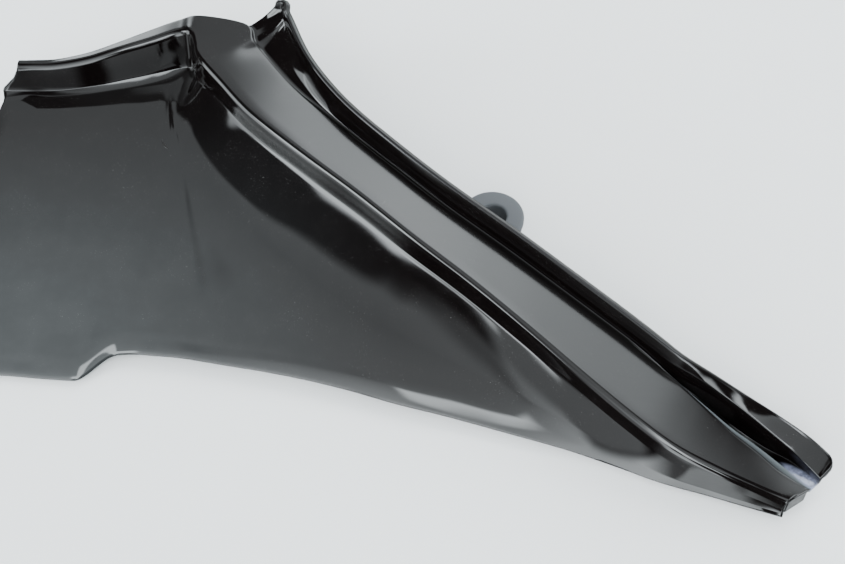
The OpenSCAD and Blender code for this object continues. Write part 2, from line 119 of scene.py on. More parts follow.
# Steps of the section, from the lower edge to the lip of the outer wall
MARGIN_STEPS = (0, 0.15, 0.3, 0.45, 0.62, 0.8)
PANEL_STEPS = 22
FLANK_STEPS = 14
RIM_STEPS = 10
DECK_STEPS = 6
FOLD_STEPS = 8
CREASE_ROW = len(MARGIN_STEPS) + PANEL_STEPS + FLANK_STEPS
ARC_ROW = CREASE_ROW + 2
BEVEL_ROW = ARC_ROW + RIM_STEPS + DECK_STEPS
DECK_ROW = BEVEL_ROW + 1
SLOT_ROW = DECK_ROW + 2
FOLD_ROW = SLOT_ROW + FOLD_STEPS
LIP_ROW = FOLD_ROW + 3
# Rows that are rounded in the outer skin, and how far from the corner it starts, in mm
ROUNDED = {CREASE_ROW: 1.2, BEVEL_ROW: 0.5, DECK_ROW: 0.7, DECK_ROW + 1: 0.3, SLOT_ROW: 0.5,
           FOLD_ROW: 0.5, LIP_ROW - 1: 0.4}
ROUND_CUTS = 4
# Station where the painted highlight, a pale grey band along the deck's bevel, starts towards the tip
PAINTED_HIGHLIGHT_START = 17.5


# Streak of whitened plastic at the tip: its middle, direction and half sizes, in metres
STREAK_AT = (0.1450, -0.0792, 0.006)
STREAK_TURN = math.radians(-46)
STREAK_SIZE = (0.0095, 0.0030, 0.02)


class CoverShape(bpy.types.PropertyGroup):
    """Sizes of the moulding"""

    wall: FloatProperty(
        name="Wall", description="Thickness of the moulding", default=2.5 * MM, unit="LENGTH")
    crest_radius: FloatProperty(
        name="Crest radius", description="Outer radius of the rim", default=2.4 * MM, unit="LENGTH")
    edge_radius: FloatProperty(
        name="Edge radius", description="Rounding of the moulding's cut edges", default=0.5 * MM,
        unit="LENGTH")
    fineness: IntProperty(
        name="Fineness", description="Columns of the mesh for each column of the stations",
        default=3, min=1, max=5)
    wall_height: FloatProperty(
        name="Outer wall", description="Height of the outer wall above the deck",
        default=8.2 * MM, unit="LENGTH")
    peg_diameter: FloatProperty(
        name="Pegs", description="Diameter of the locating pegs", default=7 * MM, unit="LENGTH")


class CoverFinish(bpy.types.PropertyGroup):
    """Colours and finishes"""

    black: FloatVectorProperty(
        name="Black", description="Colour of the moulding", subtype="COLOR",
        default=(0.0021, 0.0014, 0.0014))
    whitening: FloatVectorProperty(
        name="Whitening", description="Colour of the stressed plastic at the tip",
        subtype="COLOR", default=(0.28, 0.30, 0.42))
    rubber: FloatVectorProperty(
        name="Rubber", description="Colour of the grommet", subtype="COLOR",
        default=(0.030, 0.033, 0.032))
    floor: FloatVectorProperty(
        name="Floor", description="Colour of the floor", subtype="COLOR",
        default=(0.92, 0.92, 0.92))
    # Share of the paler tone towards the broad end's lower edge
    pale_end: FloatProperty(
        name="Haze", description="Share of dust over the broad end", default=0.10, min=0, max=1)
    gloss: FloatProperty(
        name="Gloss", description="Roughness of the polished faces", default=0.07, min=0, max=1)
    satin: FloatProperty(
        name="Satin", description="Roughness of the deck's satin strip", default=0.14, min=0, max=1)


class GrommetShape(bpy.types.PropertyGroup):
    """Sizes of the rubber grommet"""

    bore: FloatProperty(
        name="Bore radius", description="Radius of the bore", default=4.75 * MM, unit="LENGTH")
    flange: FloatProperty(
        name="Flange radius", description="Radius of the flange", default=11 * MM, unit="LENGTH")
    neck: FloatProperty(
        name="Neck radius", description="Radius in the tab's hole", default=7.5 * MM,
        unit="LENGTH")
    tail: FloatProperty(
        name="Tail radius", description="Radius below the tab", default=9.6 * MM, unit="LENGTH")


class StudioLight(bpy.types.PropertyGroup):
    """Light round the cover"""

    window: FloatProperty(
        name="Window", description="Brightness of the window behind the cover", default=9.5,
        min=0)
    front: FloatProperty(
        name="Front", description="Brightness of the box in front", default=13.0, min=0)
    low: FloatProperty(
        name="Low", description="Brightness of the low box to the left", default=5.0, min=0)
    room: FloatProperty(
        name="Room", description="Share of the room's light", default=1.0, min=0)
    right: FloatProperty(
        name="Right", description="Brightness of the box to the right", default=8.0, min=0)
    dark: FloatProperty(
        name="Dark", description="Least brightness all round", default=0.06, min=0)


# Curves and sections, in millimetres as the lists above count them

def clamp01(t):
    return max(0.0, min(1.0, t))


def smooth(t):
    c = clamp01(t)
    return c * c * (3 - 2 * c)


def lerp(a, b, t):
    return a + (b - a) * t


def curve(values, u):
    """Smooth curve through a list, at a place given in stations."""
    last = len(values) - 1
    i = max(0, min(int(math.floor(u)), last - 1))
    t = u - i
    a, b, c, d = (values[max(0, min(last, k))] for k in (i - 1, i, i + 1, i + 2))
    if isinstance(b, tuple):
        return Vector([curve([p[k] for p in values], u) for k in range(len(b))])
    return b + 0.5 * t * (c - a + t * (2 * a - 5 * b + 4 * c - d + t * (3 * (b - c) + d - a)))


def wall_curve(values, u):
    return curve(values, max(0, u - WALL_START))


def point(plan, z, u):
    p = curve(plan, u)
    return Vector((p[0], p[1], z))


def flat(v):
    return Vector((v.x, v.y, 0))


def bezier(a, b, c, d, steps):
    out = []
    for i in range(1, steps + 1):
        t = i / steps
        s = 1 - t
        out.append(s * s * s * a + 3 * s * s * t * b + 3 * s * t * t * c + t * t * t * d)
    return out


def corner_arc(k, e1, e2, r, steps):
    half = e1.angle(e2) / 2
    sweep = math.pi - 2 * half
    centre = k + (e1 + e2).normalized() * r / math.sin(half)
    reach = r / math.tan(half)
    a, b = k + e1 * reach - centre, k + e2 * reach - centre
    return [centre + (a * math.sin((1 - i / steps) * sweep) + b * math.sin(i / steps * sweep))
            / math.sin(sweep) for i in range(steps + 1)]


def crest(u):
    return point(CREST_PLAN, curve(CREST_Z, u), u)


def deck_edge(u):
    return point(DECK_PLAN, curve(CREST_Z, u) - 1.2 * curve(FALL_SHARE, u), u)


def flank_foot(u):
    return point(FLANK_PLAN, curve(FLANK_Z, u), u)


def lower_edge(u):
    p = point(EDGE_PLAN, 4.2 * curve(EDGE_SHARE, u), u)
    foot = smooth((FOOT_END - p.x) / 15)
    return Vector((p.x, p.y - 9 * foot, lerp(p.z, 1.4, foot)))


def panel_point(e, f, t):
    """Point of the panel from the lower edge e to the flank's foot f, with its rolled margin."""
    run = flat(f - e).length
    full = clamp01(run / 30)
    margin = min(8 / run, 0.4)
    drop = min(2.2, 0.3 * (f.z - e.z)) * full
    roll = 1 - (1 - min(t / margin, 1)) ** 2
    rise = t * (1 + 0.5 * full * (1 - t))
    p = lerp(e, f, t)
    return Vector((p.x, p.y, e.z + drop * roll + (f.z - e.z - drop) * rise))


def rim_crease(u):
    k = crest(u)
    out = flat(flank_foot(u) - k)
    foot = k + out.normalized() * min(1, 0.5 * out.length)
    return Vector((foot.x, foot.y, k.z - curve(BAND_H, u)))


def section(u, shape):
    """The outer line of the section at station u, from the lower edge to the lip."""
    e, f, r, k, s = lower_edge(u), flank_foot(u), rim_crease(u), crest(u), deck_edge(u)
    span = flat(f - e).length
    margin = min(8 / span, 0.4)
    line = [panel_point(e, f, margin * m) for m in MARGIN_STEPS]
    line += [panel_point(e, f, lerp(margin, 1, i / PANEL_STEPS)) for i in range(PANEL_STEPS + 1)]

    # Flank, hollow in section, up to the crease under the rim
    run = flat(r - f)
    full = clamp01(span / 30)
    slope = (f.z - e.z) * 0.5 / span
    steep = (r - f) / 3
    leave = Vector((run.x * 0.4, run.y * 0.4, slope * run.length * 0.4))
    arrive = Vector((run.x * 0.3, run.y * 0.3, (r.z - f.z) * 0.52))
    rise = bezier(f, f + lerp(steep, leave, full), r - lerp(steep, arrive, full), r, FLANK_STEPS)

    # The broad end is cut on a slant, from the crest down to the flank's foot
    slant = Vector((7 * clamp01(1 - u) ** 2, 0, 0))
    line += [p - slant * (i + 1) / FLANK_STEPS for i, p in enumerate(rise)]

    # Rim's side and crest, then the deck with the bevel at its edge
    e1, e2 = (r - k).normalized(), (s - k).normalized()
    bevel = 4.2 * wall_curve(BEVEL_SHARE, u)
    room = 0.8 * math.tan(e1.angle(e2) / 2) * min((r - k).length, (s - k).length)
    arc = corner_arc(k, e1, e2, min(shape.crest_radius / MM, room), RIM_STEPS)
    end = s - e2 * bevel
    rim = [lerp(r, arc[0], 0.5)] + arc
    rim += [lerp(arc[-1], end, i / DECK_STEPS) for i in range(1, DECK_STEPS + 1)]
    line += [p - slant * clamp01((k.z - p.z) / curve(BAND_H, u)) ** 2 for p in rim]
    s = s - UP * bevel * 0.35
    line.append(s)

    # Outer wall, from the slot beside the deck to the lip
    way = math.radians(wall_curve(LEAN_ANGLE, u))
    out = Vector((math.cos(way), math.sin(way), 0))
    high = shape.wall_height / MM
    slot = 4.8 * wall_curve(SLOT_SHARE, u)
    depth = max(8 * wall_curve(DEPTH_SHARE, u), GROOVE)
    slot = max(slot, GROOVE)
    wing = wall_curve(WING_SHARE, u)
    tip_cut = 2.6 * clamp01(1 - (len(COLUMNS) - u) / 0.4) ** 2
    wing_cut = 1.4 * clamp01(1 - (u - WALL_START) / 0.6) ** 2
    fold_x = 1 + 10.4 * wing + slot - wing_cut
    lip_x = fold_x + 0.6 + 6 * wall_curve(LEDGE_SHARE, u) - tip_cut
    fold_z, lip_z = high * wall_curve(FOLD_SHARE, u), high * wall_curve(LIP_SHARE, u) - wing_cut
    near = s + 0.3 * out - depth * UP
    far = s + (0.6 + slot) * out - depth * UP
    fold = s + fold_x * out + fold_z * UP
    lip = s + lip_x * out + (lip_z - 0.6) * UP
    low = lerp(0.12, 0.42, wing)
    bend = s + lerp(0.6 + slot, fold_x, 0.62) * out + lerp(-depth, fold_z, low) * UP
    line += [near, far]
    line += bezier(far, lerp(far, bend, 0.67), lerp(fold, bend, 0.67), fold, FOLD_STEPS)
    line += [lerp(fold, lip, 0.5), lip, lip + 0.6 * (out + UP)]
    return line


def rounded(line):
    """The line with its sharp corners rounded, and for each point the row it came from."""
    points, rows = [], []
    for j, p in enumerate(line):
        if j not in ROUNDED or j + 1 >= len(line):
            points.append(p)
            rows.append(float(j))
            continue
        a, b = line[j - 1] - p, line[j + 1] - p
        reach_a = min(ROUNDED[j], 0.45 * a.length)
        reach_b = min(ROUNDED[j], 0.45 * b.length)
        start = p + a.normalized() * reach_a
        end = p + b.normalized() * reach_b
        for i in range(ROUND_CUTS + 1):
            t = i / ROUND_CUTS
            points.append((1 - t) ** 2 * start + 2 * t * (1 - t) * p + t * t * end)
            rows.append(j + (t - 0.5) * 0.4)
    return points, rows


class Skin:
    """The moulding's outer and hollow sides as grids of points."""

    def __init__(self, shape):
        self.places = []
        for k, count in enumerate(COLUMNS):
            count *= shape.fineness
            self.places += [k + i / count for i in range(count)]
        self.places.append(len(COLUMNS))
        self.last = len(self.places) - 1
        self.wall_column = self.places.index(WALL_START)
        plain = [section(u, shape) for u in self.places]
        hollow = self.hollow_side(plain, shape.wall / MM)
        self.outer, self.inner = [], []
        for i in range(len(plain)):
            line, rows = rounded(plain[i])
            self.rows = rows
            self.outer.append(line)
            self.inner.append([self.between(hollow[i], row) for row in rows])
        self.deck_row = max(n for n, row in enumerate(self.rows) if row < DECK_ROW + 0.5)
        self.lip_row = len(self.rows) - 1

    @staticmethod
    def between(line, row):
        j = max(0, min(int(row), len(line) - 2))
        return lerp(line[j], line[j + 1], row - j)

    def hollow_side(self, outer, wall):
        """One wall inside the outer skin, and parallel to the deck beside a shallow slot."""
        def top(i):
            return DECK_ROW if i < self.wall_column else LIP_ROW

        def facing(i, j):
            a = max(self.wall_column if j > DECK_ROW else 0, i - 1)
            b = min(self.last, i + 1)
            c, d = max(0, j - 1), min(top(i), j + 1)
            across = outer[i][d] - outer[i][c]
            return (outer[b][j] - outer[a][j]).cross(across).normalized()

        def inward(i, j):
            row = outer[i]
            depth = 0 if i < self.wall_column else row[DECK_ROW].z - row[SLOT_ROW].z
            rise = row[FOLD_ROW].z - row[SLOT_ROW].z
            bevel = (row[DECK_ROW] - row[BEVEL_ROW]).length
            opened = clamp01((depth - 2.5) / 4) * (1 if j > DECK_ROW else clamp01(bevel / 3.5))
            if j < BEVEL_ROW:
                own = 1
            else:
                own = opened if j <= SLOT_ROW else clamp01(rise / 4.5)
            level = facing(i, BEVEL_ROW - 2)
            return lerp(level, facing(i, min(j, LIP_ROW - 2)), own).normalized()

        grid = []
        for i in range(len(outer)):
            line = []
            for j in range(LIP_ROW + 1):
                k = min(j, top(i))
                thick = wall - 1.2 if k == LIP_ROW else wall
                line.append(outer[i][k] - thick * inward(i, k))
            grid.append(line)
        return grid

    def top(self, i):
        return self.deck_row if i < self.wall_column else self.lip_row

    def rim_of_grid(self):
        """The grid's edge as one closed loop of (column, row)."""
        last, wall, deck, lip = self.last, self.wall_column, self.deck_row, self.lip_row
        loop = [(i, 0) for i in range(last)]
        loop += [(last, j) for j in range(lip)]
        loop += [(i, lip) for i in range(last, wall, -1)]
        loop += [(wall, j) for j in range(lip, deck, -1)]
        loop += [(i, deck) for i in range(wall, 0, -1)]
        loop += [(0, j) for j in range(deck, 0, -1)]
        return loop


def mesh_object(name, points, faces, marks=None, smooth_faces=True):
    mesh = bpy.data.meshes.new(name)
    mesh.from_pydata([(p - ORIGIN) * MM for p in points], [], faces)
    mesh.validate()
    mesh.polygons.foreach_set("use_smooth", [smooth_faces] * len(mesh.polygons))
    for key, values in (marks or {}).items():
        layer = mesh.attributes.new(key, "FLOAT", "POINT")
        layer.data.foreach_set("value", values)
    mesh.update()
    piece = bpy.data.objects.new(name, mesh)
    bpy.context.scene.collection.objects.link(piece)
    return piece


def own(piece, node, slot_name, material):
    """The piece rides on the cover, stands for its node and gets its material."""
    piece.data.materials.clear()
    piece.data.materials.append(material)
    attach(piece, "root")
    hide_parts(node)
    return piece


def shell_mesh(shape):
    """Both sides of the moulding, joined by rounded edges."""
    skin = Skin(shape)
    radius = shape.edge_radius / MM
    points, index = [], {}
    marks = {"deck": [], "painted_highlight": [], "hollow": []}
    first_deck = min(n for n, row in enumerate(skin.rows) if row >= ARC_ROW + RIM_STEPS - 2)
    last_deck = max(n for n, row in enumerate(skin.rows) if row <= BEVEL_ROW + 0.3)
    # Rows of the painted highlight: a pale band along the deck's bevel
    painted_highlight_rows = [n for n, row in enumerate(skin.rows) if BEVEL_ROW + 0.3 <= row <= DECK_ROW + 0.2]

    def put(key, p, i, j, hidden):
        index[key] = len(points)
        points.append(p)
        marks["deck"].append(1.0 if first_deck <= j <= last_deck and not hidden else 0.0)
        painted_highlight = smooth((skin.places[i] - PAINTED_HIGHLIGHT_START) / 2.5) if j in painted_highlight_rows else 0.0
        marks["painted_highlight"].append(0.0 if hidden else painted_highlight)
        marks["hollow"].append(1.0 if hidden else 0.0)

    for i in range(skin.last + 1):
        for j in range(skin.top(i) + 1):
            put(("out", i, j), skin.outer[i][j].copy(), i, j, False)
            put(("in", i, j), skin.inner[i][j].copy(), i, j, True)

    faces = []
    for i in range(skin.last):
        for j in range(skin.top(i)):
            ring = ((i, j), (i + 1, j), (i + 1, j + 1), (i, j + 1))
            faces.append([index[("out", *q)] for q in ring])
            faces.append([index[("in", *q)] for q in reversed(ring)])

    # Rounded edge all round: the two sides end one radius short of it
    loop = skin.rim_of_grid()
    count = len(loop)
    outer_edge = [points[index[("out", *q)]].copy() for q in loop]
    inner_edge = [points[index[("in", *q)]].copy() for q in loop]
    rings = []
    turn = math.sin(math.pi / 4)
    for n, q in enumerate(loop):
        p, inner = outer_edge[n], inner_edge[n]
        thick = inner - p
        down = thick.normalized()
        r = min(radius, 0.4 * thick.length)
        along = outer_edge[(n + 1) % count] - outer_edge[n - 1]
        into = (-down).cross(along).normalized()
        points[index[("out", *q)]] = p + into * r
        points[index[("in", *q)]] = inner + into * r
        rings.append([
            p + into * r * (1 - turn) + down * r * (1 - turn), p + down * r,
            inner - down * r, inner + into * r * (1 - turn) - down * r * (1 - turn)])
    for k in range(4):
        for n, q in enumerate(loop):
            put(("edge", k, n), rings[n][k], q[0], q[1], True)
    for n, q in enumerate(loop):
        m = (n + 1) % count
        after = loop[m]
        line = [index[("out", *q)]] + [index[("edge", k, n)] for k in range(4)] + [index[("in", *q)]]
        beside = ([index[("out", *after)]] + [index[("edge", k, m)] for k in range(4)]
                  + [index[("in", *after)]])
        for k in range(5):
            faces.append([line[k], line[k + 1], beside[k + 1], beside[k]])
    return mesh_object("cover_moulding", points, faces, marks)


# Supports on the hollow side

def prism(outline, thick, place, name):
    """A plate of this outline, thick along its own Z, set by the matrix place."""
    bm = bmesh.new()
    low = [bm.verts.new((x, y, -thick / 2)) for x, y in outline]
    high = [bm.verts.new((x, y, thick / 2)) for x, y in outline]
    bm.faces.new(list(reversed(low)))
    bm.faces.new(high)
    for n in range(len(outline)):
        m = (n + 1) % len(outline)
        bm.faces.new((low[n], low[m], high[m], high[n]))
    bm.normal_update()
    mesh = bpy.data.meshes.new(name)
    bm.to_mesh(mesh)
    bm.free()
    mesh.transform(place)
    mesh.transform(Matrix.Scale(MM, 4) @ Matrix.Translation(-ORIGIN))
    piece = bpy.data.objects.new(name, mesh)
    bpy.context.scene.collection.objects.link(piece)
    return piece


def web(name, a, b, drop_a, drop_b, thick):
    """Upright web from a to b, its lower edge drop_a and drop_b below them."""
    run = flat(b - a)
    outline = [(0, a.z - drop_a), (run.length, b.z - drop_b), (run.length, b.z), (0, a.z)]
    place = (Matrix.Translation(flat(a)) @ Matrix.Rotation(math.atan2(run.y, run.x), 4, "Z")
             @ Matrix.Rotation(math.radians(90), 4, "X"))
    return prism(outline, thick, place, name)


def lathe(name, centre, profile, closed, sides=96):
    """A turned piece from (radius, height) points in millimetres."""
    points, faces = [], []
    count = len(profile)
    for n in range(sides):
        a = 2 * math.pi * n / sides
        points += [Vector((centre.x + r * math.cos(a), centre.y + r * math.sin(a), z))
                   for r, z in profile]
    spans = count if closed else count - 1
    for n in range(sides):
        m = (n + 1) % sides
        for k in range(spans):
            j = (k + 1) % count
            faces.append([n * count + k, m * count + k, m * count + j, n * count + j])
    if not closed:
        faces.append([n * count for n in reversed(range(sides))])
        faces.append([n * count + count - 1 for n in range(sides)])
    return mesh_object(name, points, faces)


def soften(profile, closed, cuts=5):
    """The (radius, height, rounding) profile with its corners rounded."""
    out = []
    count = len(profile)
    for n, (x, y, reach) in enumerate(profile):
        if reach == 0 or (not closed and n in (0, count - 1)):
            out.append((x, y))
            continue
        p = Vector((x, y))
        a = Vector(profile[n - 1][:2]) - p
        b = Vector(profile[(n + 1) % count][:2]) - p
        start = p + a.normalized() * min(reach, 0.48 * a.length)
        end = p + b.normalized() * min(reach, 0.48 * b.length)
        for i in range(cuts + 1):
            t = i / cuts
            q = (1 - t) ** 2 * start + 2 * t * (1 - t) * p + t * t * end
            out.append((q.x, q.y))
    return out


TAB_AT = 14.35
TAB_REACH = 16.4
TAB_Z = 14
TAB_T = 3
TAB_R = 10.5


def tab_frame():
    edge = deck_edge(TAB_AT)
    way = flat(edge - crest(TAB_AT)).normalized()
    return edge, way, flat(edge) + way * TAB_REACH


def bevelled(piece, width):
    cut = piece.modifiers.new("Edges", "BEVEL")
    cut.width = width * MM
    cut.segments = 2
    cut.limit_method = "ANGLE"
    return piece


def tab_pieces():
    edge, way, centre = tab_frame()
    angle = math.atan2(way.y, way.x)
    side = Vector((way.y, -way.x, 0))
    steps = 40
    outline = [(-TAB_REACH - 5, -TAB_R)]
    outline += [(TAB_R * math.sin(math.pi * i / steps), -TAB_R * math.cos(math.pi * i / steps))
                for i in range(steps + 1)]
    outline.append((-TAB_REACH - 5, TAB_R))
    plate = ring_plate("cover_tab", outline, 7.6, TAB_T, Matrix.Translation(
        centre + UP * (TAB_Z + TAB_T / 2)) @ Matrix.Rotation(angle, 4, "Z"))
    inset = way * 4
    a, b = deck_edge(TAB_AT - 0.43) - inset - UP * 1.25, deck_edge(TAB_AT + 0.43) - inset - UP * 1.25
    made = [plate, web("cover_tab_back", a, b, a.z - TAB_Z - 0.4, b.z - TAB_Z - 0.4, 2.2)]
    for name, turn in (("cover_tab_left", -1), ("cover_tab_right", 1)):
        foot = flat(edge) + side * turn * (TAB_R - 1.5)
        p = foot - inset
        p.z = deck_edge(TAB_AT + turn * 0.43).z - 2
        q = foot + way * 5
        q.z = TAB_Z + TAB_T + 1
        made.append(web(name, p, q, p.z - TAB_Z - 0.4, q.z - TAB_Z - 0.4, 2.2))
    return made


def ring_plate(name, outline, hole_r, thick, place):
    """A plate with a round hole, whose outline is seen from the hole's middle."""
    count = len(outline) * 2
    edge = []
    for n in range(len(outline)):
        a, b = Vector(outline[n]), Vector(outline[(n + 1) % len(outline)])
        edge += [a, (a + b) / 2]
    points, faces = [], []
    for z in (-thick / 2, thick / 2):
        for p in edge:
            points.append(place @ Vector((p.x, p.y, z)))
        for p in edge:
            q = p.normalized() * hole_r
            points.append(place @ Vector((q.x, q.y, z)))
    for n in range(count):
        m = (n + 1) % count
        low_o, low_i, high_o, high_i = n, count + n, 2 * count + n, 3 * count + n
        low_o2, low_i2, high_o2, high_i2 = m, count + m, 2 * count + m, 3 * count + m
        faces.append([low_i, low_i2, low_o2, low_o])
        faces.append([high_o, high_o2, high_i2, high_i])
        faces.append([low_o, low_o2, high_o2, high_o])
        faces.append([high_i, high_i2, low_i2, low_i])
    return mesh_object(name, points, faces, smooth_faces=False)


def rib_pieces():
    made = []
    for n, u in enumerate((9.5, 11.2, 12.8, 16, 17.4, 18.7)):
        k, s = crest(u), deck_edge(u)
        way = (s - k).normalized()
        a = k + way * 1.25 - UP * 2.5
        b = s - way * 1.25 - UP * 1.25
        made.append(web(f"cover_rib_{n + 1}", a, b, curve(BAND_H, u) - 2.5, 4, 1.6))
    k, s = crest(len(COLUMNS)), deck_edge(len(COLUMNS))
    way = flat(s - k).normalized()
    back = Vector((-way.y, way.x, 0)) * 1.55
    a, b = k + way * 1.25 - UP * 1.25 + back, s - way * 1.25 - UP * 1.25 + back
    floor = ORIGIN.z + 0.2
    made.append(web("cover_tip_wall", a, b, a.z - floor, b.z - floor, 2.5))
    return made


def peg_pieces(shape):
    r = shape.peg_diameter / MM / 2
    low = ORIGIN.z
    made = []
    places = (panel_point(lower_edge(9), flank_foot(9), 0.93), lerp(crest(16.5), deck_edge(16.5), 0.5))
    for n, p in enumerate(places):
        top = p.z - 1.25
        profile = soften([(0.01, low, 0), (r - 1, low, 0.3), (r, low + 1, 0.4), (r, low + 12, 0.3),
                          (5.5, low + 12, 0.4), (5.5, top, 0)], False)
        made.append(lathe(f"cover_peg_{n + 1}", p, profile, False, 64))
    return made


# Materials

class Nodes:
    """Short calls for building a material's nodes."""

    def __init__(self, name):
        self.material = bpy.data.materials.new(name)
        self.material.use_nodes = True
        self.tree = self.material.node_tree
        self.shader = self.tree.nodes["Principled BSDF"]

    def add(self, kind, **values):
        node = self.tree.nodes.new(kind)
        for key, value in values.items():
            if key in node.inputs:
                node.inputs[key].default_value = value
            else:
                setattr(node, key, value)
        return node

    def join(self, a, b):
        self.tree.links.new(a, b)

    def mark(self, key):
        return self.add("ShaderNodeAttribute", attribute_name=key).outputs["Fac"]

    def math(self, kind, a, b=0.0, clamp=False):
        node = self.add("ShaderNodeMath", operation=kind, use_clamp=clamp)
        for socket, value in zip(node.inputs, (a, b)):
            if isinstance(value, bpy.types.NodeSocket):
                self.join(value, socket)
            else:
                socket.default_value = value
        return node.outputs[0]

    def ranged(self, value, low, high, to_low=0.0, to_high=1.0):
        node = self.add("ShaderNodeMapRange", interpolation_type="SMOOTHSTEP")
        for socket, v in zip(node.inputs, (value, low, high, to_low, to_high)):
            if isinstance(v, bpy.types.NodeSocket):
                self.join(v, socket)
            else:
                socket.default_value = v
        return node.outputs[0]

    def place(self, scale=(1, 1, 1), turn=0.0):
        spot = self.add("ShaderNodeTexCoord").outputs["Object"]
        mapping = self.add("ShaderNodeMapping")
        mapping.inputs["Scale"].default_value = scale
        mapping.inputs["Rotation"].default_value = (0, 0, turn)
        self.join(spot, mapping.inputs["Vector"])
        return mapping.outputs[0]

    def noise(self, scale, detail=2.0, rough=0.5, where=None):
        node = self.add("ShaderNodeTexNoise")
        node.inputs["Scale"].default_value = scale
        node.inputs["Detail"].default_value = detail
        node.inputs["Roughness"].default_value = rough
        self.join(where or self.place(), node.inputs["Vector"])
        return node.outputs["Fac"]

    def mix(self, share, a, b):
        node = self.add("ShaderNodeMix", data_type="RGBA")
        colours = [s for s in node.inputs if s.type == "RGBA"]
        self.join(share, node.inputs["Factor"])
        for socket, value in zip(colours, (a, b)):
            if isinstance(value, bpy.types.NodeSocket):
                self.join(value, socket)
            else:
                socket.default_value = (*value, 1)
        return next(s for s in node.outputs if s.type == "RGBA")

    def bump(self, height, strength, distance, before=None):
        node = self.add("ShaderNodeBump")
        node.inputs["Strength"].default_value = strength
        node.inputs["Distance"].default_value = distance
        self.join(height, node.inputs["Height"])
        if before is not None:
            self.join(before, node.inputs["Normal"])
        return node.outputs[0]


def black_material(finish):
    """Gloss black moulding: polished faces, a satin deck, dust, wipe marks, whitening, a painted highlight
    along the deck's bevel near the tip, and a paler tone towards the broad end's lower edge.
    """
    n = Nodes("gloss_black_moulding")
    deck, hollow, painted_highlight = n.mark("deck"), n.mark("hollow"), n.mark("painted_highlight")

    # Fine specks of dust, in patches
    specks = n.noise(2600, 1.0)
    patches = n.noise(90, 3.0, 0.6)
    dust = n.math("MULTIPLY", n.ranged(specks, 0.70, 0.78), n.ranged(patches, 0.45, 0.65))
    dust = n.math("MULTIPLY", dust, 0.3)

    # Stress whitening in a streak across the tip's inner corner
    spot = n.add("ShaderNodeMapping", vector_type="TEXTURE")
    spot.inputs["Location"].default_value = STREAK_AT
    spot.inputs["Rotation"].default_value = (0, 0, STREAK_TURN)
    spot.inputs["Scale"].default_value = STREAK_SIZE
    n.join(n.add("ShaderNodeTexCoord").outputs["Object"], spot.inputs["Vector"])
    span = n.add("ShaderNodeVectorMath", operation="LENGTH")
    n.join(spot.outputs[0], span.inputs[0])
    whitening = n.math("MULTIPLY", n.ranged(span.outputs["Value"], 1.0, 0.55),
                       n.ranged(n.noise(420, 3.0, 0.6), 0.25, 0.65, 0.3, 0.95))

    # Paler patches towards the broad end's lower edge
    where = n.add("ShaderNodeSeparateXYZ")
    n.join(n.add("ShaderNodeTexCoord").outputs["Object"], where.inputs[0])
    low_end = n.math("MULTIPLY", n.ranged(where.outputs["X"], 0.03, -0.13),
                     n.ranged(where.outputs["Y"], 0.07, -0.03))
    pale_end = n.math("MULTIPLY", low_end, n.ranged(patches, 0.2, 0.8, 0.8, 1.0))
    pale_end = n.math("MULTIPLY", pale_end, finish.pale_end)

    black = n.mix(n.ranged(patches, 0.35, 0.7), tuple(finish.black),
                  tuple(c * 1.3 for c in finish.black))
    black = n.mix(pale_end, black, (0.30, 0.33, 0.34))
    # Painted highlight: pale grey along the deck's bevel, from station 17.5 to the tip
    black = n.mix(n.math("MULTIPLY", painted_highlight, 0.85), black, (0.15, 0.17, 0.18))
    dusty = n.mix(dust, black, (0.22, 0.22, 0.21))
    colour = n.mix(whitening, dusty, tuple(finish.whitening))
    n.join(colour, n.shader.inputs["Base Color"])

    # Gloss broken by wipe marks; the deck is satin with streaks along it
    wipes = n.noise(30, 4.0, 0.65, n.place((1, 3.2, 1), math.radians(38)))
    streaks = n.noise(1.0, 3.0, 0.6, n.place((60, 1100, 60), math.radians(41)))
    polished = n.ranged(wipes, 0.35, 0.75, finish.gloss * 0.8, finish.gloss * 1.3)
    satin = n.ranged(streaks, 0.3, 0.7, finish.satin * 0.95, finish.satin * 1.06)
    rough = n.math("ADD", n.math("MULTIPLY", polished, n.math("SUBTRACT", 1.0, deck)),
                   n.math("MULTIPLY", satin, deck))
    rough = n.math("ADD", rough, n.math("MULTIPLY", hollow, 0.28))
    rough = n.math("ADD", rough, n.math("MULTIPLY", dust, 0.5), clamp=True)
    n.join(rough, n.shader.inputs["Roughness"])

    # Slight waviness of the moulding, then hairline scratches
    waves = n.noise(45, 1.0)
    hairs = n.noise(1.0, 2.0, 0.5, n.place((60, 2400, 60), math.radians(-35)))
    lines = n.ranged(hairs, 0.74, 0.78)
    shape = n.bump(waves, 0.12, 0.0006)
    n.join(n.bump(lines, 0.10, 0.00003, shape), n.shader.inputs["Normal"])
    n.shader.inputs["IOR"].default_value = 1.5
    return n.material


def support_material(finish):
    """The same plastic on the webs and pegs, as it leaves the mould."""
    n = Nodes("mould_black_supports")
    patches = n.noise(120, 3.0, 0.6)
    colour = n.mix(n.ranged(patches, 0.3, 0.7), tuple(finish.black),
                   tuple(c * 1.8 for c in finish.black))
    n.join(colour, n.shader.inputs["Base Color"])
    n.join(n.ranged(n.noise(400, 3.0), 0.3, 0.7, 0.3, 0.42), n.shader.inputs["Roughness"])
    n.join(n.bump(n.noise(900, 2.0), 0.2, 0.0001), n.shader.inputs["Normal"])
    return n.material


